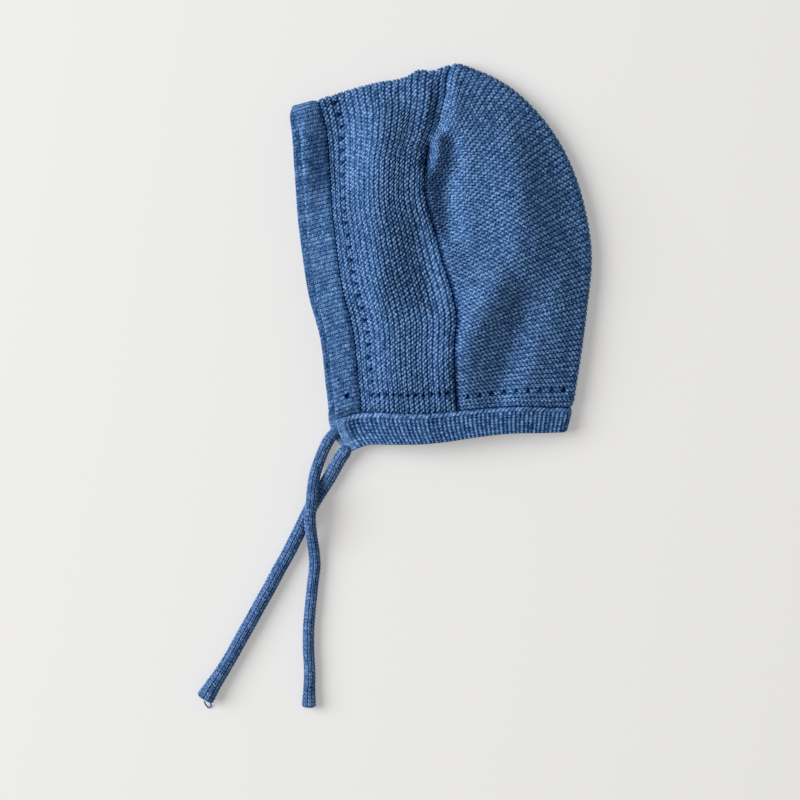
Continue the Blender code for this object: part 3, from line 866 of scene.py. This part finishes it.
def make_hood(material):
    piece = Piece(
        ("band_join", "hood_back", "hood_foot", "hood_top"), "top", (1, 1, 1, 0), PANEL_WALL
    )
    ridge_steps, near_steps, far_steps = HOOD_STEPS
    ridge = np.linspace(0.0, HOOD_RIDGES, HOOD_RIDGES * ridge_steps + 1)
    cross = ridge_shares(ridge, HOOD_RIDGES, HOOD_RIDGE_SPREAD)
    arcs = piece.arcs(cross)
    count = round(arcs.mean() / HOOD_STITCH)
    near = np.linspace(1.0, 0.0, count * near_steps + 1)
    far = np.linspace(0.0, -1.0, count * far_steps + 1)[1:]
    share = np.concatenate([near, far])
    ways = share[None, :] * arcs[:, None]
    stitch = over_grid(count - np.abs(share[None, :]) * count, ways)
    ridges = over_grid(ridge[:, None], ways)
    points, even, join_painted_shade = piece.surface(cross, ways)
    normal = outward_normals(even, ways)
    height, tone = garter(ridges, stitch)
    face_row = eyelets(
        (ridges - FACE_EYELETS_RIDGE) * HOOD_RIDGE_WIDTH,
        gap_to_nearest(stitch, FACE_EYELETS_FIRST, EYELET_STITCHES) * HOOD_STITCH,
    )
    foot_row = eyelets(
        (stitch - FOOT_EYELETS_STITCH) * HOOD_STITCH,
        gap_to_nearest(ridges, FOOT_EYELETS_FIRST, FOOT_EYELETS_APART) * HOOD_RIDGE_WIDTH,
    )
    hole = np.maximum(
        face_row * (stitch > FACE_EYELETS_ABOVE), foot_row * (ridges > FOOT_EYELETS_BEYOND)
    )
    points = raised(points, normal, height, HOOD_RELIEF) - normal * (hole * EYELET_DEPTH)[..., None]
    skip_rows, skip_columns = HOOD_INNER_SKIP
    inner_rows = every(len(cross), skip_rows)
    inner_ways = ways[np.ix_(inner_rows, every(ways.shape[1], skip_columns))]
    inner = inner_face(piece, cross[inner_rows], inner_ways)
    keep = np.ones(ways.shape, bool)
    shading = (height, tone, hole, join_painted_shade)
    hood = garter_object("hood_garter_knit", points, keep, inner, shading, material)
    return finish_piece(hood, "knit", "hood_panel")


def make_back(material):
    piece = Piece(
        ("seam", "back_fold", "back_foot", "crease"), "right", (1, 0, 1, 1), PANEL_WALL
    )
    ridge_steps, near_steps, far_steps = BACK_STEPS
    ridge = np.linspace(0.0, BACK_RIDGES, BACK_RIDGES * ridge_steps + 1)
    cross = ridge_shares(ridge, BACK_RIDGES, BACK_RIDGE_SPREAD)
    arcs = piece.arcs(cross)
    near_step, far_step = BACK_STITCH / near_steps, BACK_STITCH / far_steps
    near_count = np.round(arcs / near_step).astype(int)[:, None]
    far_count = np.round(arcs / far_step).astype(int)[:, None]
    column = np.arange(-far_count.max(), near_count.max() + 1)[None, :]
    keep = (column >= -far_count) & (column <= near_count)
    ways = np.where(column > 0, column * near_step, column * far_step)
    ends = np.where(column > 0, arcs[:, None], -arcs[:, None])
    at_end = (column >= near_count) | (column <= -far_count)
    ways = np.where(at_end, ends, ways)
    stitch = np.abs(ways) / BACK_STITCH
    ridges = over_grid(ridge[:, None], ways)
    points, even, join_painted_shade = piece.surface(cross, ways)
    normal = outward_normals(even, ways)
    height, tone = garter(ridges, stitch)
    foot_row = eyelets(
        (ridges - BACK_EYELETS_RIDGE) * BACK_RIDGE_WIDTH,
        gap_to_nearest(stitch, BACK_EYELETS_FIRST, EYELET_STITCHES) * BACK_STITCH,
    )
    hole = foot_row * (stitch > BACK_EYELETS_BEYOND)
    points = raised(points, normal, height, BACK_RELIEF) - normal * (hole * EYELET_DEPTH)[..., None]
    inner_rows = every(len(cross), BACK_INNER_SKIP)
    inner_share = np.linspace(-1.0, 1.0, BACK_INNER_POINTS)
    inner_ways = inner_share[None, :] * arcs[inner_rows][:, None]
    inner = inner_face(piece, cross[inner_rows], inner_ways)
    shading = (height, tone, hole, join_painted_shade)
    back = garter_object("back_garter_knit", points, keep, inner, shading, material)
    return finish_piece(back, "knit", "back_panel")


def rounded_edge(distance, radius):
    """How far a surface drops near a rounded edge, at a distance in from it."""
    inside = np.clip(1 - distance / radius, 0.0, 1.0)
    return radius * (1 - np.sqrt(1 - inside**2))


def edge_shares(width, radius, count):
    """Distances in from a rounded edge, closer together where it turns."""
    turn = np.linspace(0.0, math.pi / 2, count)
    return radius * (1 - np.cos(turn)) / width


def band_rows(width, radius, steps):
    """Shares across a band, closer together at its rounded free edge."""
    turned = edge_shares(width, radius, EDGE_POINTS)
    return np.concatenate([turned, np.linspace(turned[-1], 1.0, steps + 1)[1:]])


def double_faced(piece, name, cross, ways, pattern, drop, relief, material, node):
    """A band with the same stitches on both faces, whose free edges are rounded. pattern has the
    stitches' heights and tones, and drop how far each face is drawn in at an edge."""
    points, even, join_painted_shade = piece.surface(cross, ways)
    normal = outward_normals(even, ways)
    height, tone = pattern
    drawn_in = drop[..., None] * normal
    outer = raised(points, normal, height, relief) - drawn_in
    hollow = normal * ((1 - height) * relief * INNER_RELIEF)[..., None]
    inner = points - normal * piece.wall + drawn_in + hollow
    keep = np.ones(ways.shape, bool)
    vertices, faces = closed_sheet((outer, keep), (inner, keep))
    # Painted shade between the stitches and along the joins, the same on both faces
    painted_crevice_shade = np.clip(1 - height + join_painted_shade, 0.0, MOST_PAINTED_CREVICE_SHADE)
    marks = {
        "painted_crevice_shade": np.concatenate([painted_crevice_shade[keep], painted_crevice_shade[keep]]),
        "tone": np.concatenate([tone[keep], tone[keep]]),
    }
    band = mesh_object(name, vertices, faces, material, marks)
    piece.arcs(cross)
    return finish_piece(band, "knit", node)


def make_front_band(material):
    piece = Piece(
        ("front_face", "band_join", "band_foot", "band_top"), "top", (0, 1, 1, 0), FRONT_BAND_WALL
    )
    across_steps, near_steps, far_steps = FRONT_BAND_STEPS
    radius = FRONT_BAND_WALL / 2 * EDGE_ROUND
    cross = band_rows(FRONT_BAND_WIDTH, radius, across_steps)
    arcs = piece.arcs(cross)
    count = round(arcs.mean() / BAND_WALE)
    near = np.linspace(1.0, 0.0, count * near_steps + 1)
    far = np.linspace(0.0, -1.0, count * far_steps + 1)[1:]
    share = np.concatenate([near, far])
    ways = share[None, :] * arcs[:, None]
    from_edge = over_grid(cross[:, None] * FRONT_BAND_WIDTH, ways)
    wale = over_grid(count * (1 - np.abs(share))[None, :], ways)
    height, tone = stockinette(wale, from_edge / BAND_COURSE, BAND_HOLLOW, BAND_WAVE)
    hole = eyelets(from_edge - BAND_HOLE_IN, arcs[:, None] - ways - BAND_HOLE_UP)
    # The band's tone is lowered all over by its painted shade
    pattern = (height - BAND_HOLE_DEPTH * hole, tone - BAND_PAINTED_SHADE)
    drop = rounded_edge(from_edge, radius)
    return double_faced(
        piece, "front_band_knit", cross, ways, pattern, drop, BAND_RELIEF, material, "front_band"
    )


def make_neck_band(material):
    piece = Piece(
        ("neck_front", "neck_fold", "neck", "neck_join"), "right", (0, 0, 0, 1), NECK_BAND_WALL
    )
    across_steps, near_steps, far_steps = NECK_BAND_STEPS
    radius = NECK_BAND_WALL / 2 * EDGE_ROUND
    cross = band_rows(NECK_BAND_WIDTH, radius, across_steps)
    arcs = piece.arcs(cross)
    count = round(arcs.mean() / RIB_PITCH)
    end = 1 - edge_shares(arcs.mean(), radius, EDGE_POINTS)
    near = np.linspace(1.0, 0.0, count * near_steps + 1)
    near = np.concatenate([end[:-1], near[near < end[-1]]])
    far = np.linspace(0.0, -1.0, count * far_steps + 1)
    far = np.concatenate([far[far > -end[-1]][1:], -end[::-1]])
    share = np.concatenate([near, far])
    ways = share[None, :] * arcs[:, None]
    wale = over_grid(count * (1 - np.abs(share))[None, :], ways)
    from_edge = over_grid(cross[:, None] * NECK_BAND_WIDTH, ways)
    from_join = over_grid((1 - cross)[:, None] * NECK_BAND_WIDTH, ways)
    from_end = (1 - np.abs(share))[None, :] * arcs[:, None]
    height, tone = ribs(wale, from_edge / RIB_COURSE, from_join)
    plain = 1 - smooth_step((from_end - PLAIN_END) / PLAIN_END)
    pattern = (height + (PLAIN_HEIGHT - height) * plain, tone)
    drop = np.maximum(rounded_edge(from_edge, radius), rounded_edge(from_end, radius))
    return double_faced(
        piece, "neck_band_knit", cross, ways, pattern, drop, RIB_RELIEF, material, "neck_band"
    )


def frames_along(middle):
    """Sideways and upward unit vectors along a line of points."""
    ahead = np.gradient(middle, axis=0)
    ahead /= np.linalg.norm(ahead, axis=1)[:, None]
    aside = np.cross(ahead, (0.0, 0.0, 1.0))
    aside /= np.linalg.norm(aside, axis=1)[:, None]
    return aside, np.cross(aside, ahead)


def tube_faces(rings, around):
    """Faces of a tube of rings of points, closed by the two points that follow them."""
    number = np.arange(rings * around).reshape(rings, around)
    number = np.concatenate([number, number[:, :1]], axis=1)
    faces = grid_faces(number)
    hub = rings * around
    for row, centre, order in ((number[0], hub, 1), (number[-1], hub + 1, -1)):
        for a, b in zip(row[:-1], row[1:]):
            faces.append([int(a), int(b), centre][::order])
    return faces


def round_tube(middle, aside, above, turn, wide, tall):
    """Rings of points round a line, as wide and tall as given at each of its points."""
    side = (np.cos(turn)[None, :] * wide[:, None])[..., None]
    rise = (np.sin(turn)[None, :] * tall[:, None])[..., None]
    return middle[:, None, :] + aside[:, None, :] * side + above[:, None, :] * rise


def make_yarn_tail(material):
    """A short loop of yarn left at the near tie's end."""
    middle = smooth_line(NEAR_TAIL_ROUTE, TAIL_POINTS)
    aside, above = frames_along(middle)
    turn = np.linspace(0.0, 2 * math.pi, TAIL_AROUND, endpoint=False)
    radius = np.full(len(middle), TAIL_RADIUS)
    rings = round_tube(middle, aside, above, turn, radius, radius)
    points = np.concatenate([rings.reshape(-1, 3), middle[[0, -1]]])
    # Painted shade, even all along the tail
    marks = {"painted_crevice_shade": np.full(len(points), TAIL_PAINTED_SHADE), "tone": np.zeros(len(points))}
    faces = tube_faces(len(middle), TAIL_AROUND)
    tail = mesh_object("tie_near_yarn_tail", points, faces, material, marks)
    return finish_piece(tail, "cord", "tie_near")


def rounded_end(way, reach):
    """The share of its width that a cord has at a way in from a rounded end."""
    return np.sqrt(np.clip(1 - np.clip(1 - way / reach, 0, 1) ** 2, TIE_TIP, 1))


def make_tie(name, route, diameter, node, material):
    """A knitted cord of V stitches along its route, closed at both ends."""
    steps_around, steps_along = TIE_STEPS
    rough = smooth_line(route, ROUGH_TIE_POINTS)
    courses = round(lengths_along(rough[:, :3])[-1] / TIE_COURSE)
    line = smooth_line(route, courses * steps_along + 1)
    middle, width = line[:, :3], line[:, 3]
    aside, above = frames_along(middle)
    around = TIE_WALES * steps_around
    turn = np.linspace(0.0, 2 * math.pi, around, endpoint=False)
    way = lengths_along(middle)
    course = (way / way[-1] * courses)[:, None] + np.zeros(around)
    wale = (turn / (2 * math.pi) * TIE_WALES)[None, :] + np.zeros((len(line), 1))
    height, tone = stockinette(wale, course, TIE_HOLLOW, TIE_WAVE)
    radius = diameter / 2
    at_end = TIE_END_LEAST + (1 - TIE_END_LEAST) * rounded_end(way[-1] - way, TIE_END_ROUND * radius)
    shrink = at_end * rounded_end(way, TIE_START_ROUND * radius)
    wide = radius * width * shrink
    tall = radius * np.minimum(TIE_TALLEST, width) * shrink
    rings = round_tube(middle, aside, above, turn, wide, tall)
    unit = np.ones(len(line))
    outward = round_tube(np.zeros_like(middle), aside, above, turn, unit, unit)
    rings = rings + outward * ((height - TIE_SUNK) * TIE_RELIEF * shrink[:, None])[..., None]
    points = np.concatenate([rings.reshape(-1, 3), middle[[0, -1]]])
    # Painted shade at the tips and between the cord's stitches
    tips = [TIE_TIP_PAINTED_SHADE, TIE_TIP_PAINTED_SHADE]
    marks = {
        "painted_crevice_shade": np.append(np.clip(1 - height, 0.0, TIE_MOST_PAINTED_SHADE), tips),
        "tone": np.append(tone, [0.0, 0.0]),
    }
    tie = mesh_object(name, points, tube_faces(len(line), around), material, marks)
    finish_piece(tie, "cord", node)
    return tie


def make_camera():
    data = bpy.data.cameras.new("camera")
    data.type = "PERSP"
    data.lens = CAMERA_LENS
    data.sensor_width = CAMERA_SENSOR
    data.clip_end = VIEW_REACH
    camera = bpy.data.objects.new("camera", data)
    camera.location = (*VIEW_MIDDLE, VIEW_WIDTH * CAMERA_LENS / CAMERA_SENSOR)
    bpy.context.scene.collection.objects.link(camera)
    bpy.context.scene.camera = camera


def make_floor():
    """A plain pale floor that glows a little, so that shadows on it stay soft."""
    mesh = bpy.data.meshes.new("floor")
    reach = FLOOR_REACH
    corners = [(-reach, -reach, 0), (reach, -reach, 0), (reach, reach, 0), (-reach, reach, 0)]
    mesh.from_pydata(corners, [], [(0, 1, 2, 3)])
    floor = bpy.data.objects.new("floor", mesh)
    floor.location = (0.0, 0.0, -FLOOR_DROP)
    bpy.context.scene.collection.objects.link(floor)
    material = bpy.data.materials.new("floor_paper")
    material.use_nodes = True
    shader = material.node_tree.nodes["Principled BSDF"]
    shader.inputs["Base Color"].default_value = FLOOR_COLOUR
    shader.inputs["Roughness"].default_value = 0.9
    shader.inputs["Specular IOR Level"].default_value = 0.1
    shader.inputs["Emission Color"].default_value = FLOOR_GLOW_COLOUR
    shader.inputs["Emission Strength"].default_value = FLOOR_GLOW
    mesh.materials.append(material)


def make_sky():
    world = bpy.data.worlds.new("sky")
    world.use_nodes = True
    background = world.node_tree.nodes["Background"]
    background.inputs["Color"].default_value = SKY_COLOUR
    background.inputs["Strength"].default_value = SKY_STRENGTH
    bpy.context.scene.world = world


def make_key_light():
    """A wide soft light from the left, turned towards the middle of the floor."""
    data = bpy.data.lights.new("key", "AREA")
    data.shape = "DISK"
    data.size = KEY_SIZE
    data.energy = KEY_POWER
    light = bpy.data.objects.new("key", data)
    light.location = KEY_PLACE
    x, y, z = KEY_PLACE
    light.rotation_euler = (
        math.atan2(math.hypot(x, y), z),
        0.0,
        math.atan2(-y, -x) - math.pi / 2,
    )
    bpy.context.scene.collection.objects.link(light)


def main():
    scene = bpy.context.scene
    scene.view_settings.view_transform = "Standard"
    scene.view_settings.look = "None"
    make_camera()
    knit = yarn_material("blue_knit", YARN_PAINTED_SHADE_TO_LIGHT_COLOURS)
    cord = yarn_material("blue_cord", CORD_PAINTED_SHADE_TO_LIGHT_COLOURS)
    tail = make_yarn_tail(cord)
    make_tie("tie_near_knit", NEAR_TIE_ROUTE, NEAR_TIE_DIAMETER, "tie_near", cord)
    make_tie("tie_far_knit", FAR_TIE_ROUTE, FAR_TIE_DIAMETER, "tie_far", cord)
    make_front_band(knit)
    make_neck_band(knit)
    make_hood(knit)
    make_back(knit)
    make_floor()
    make_sky()
    make_key_light()


main()
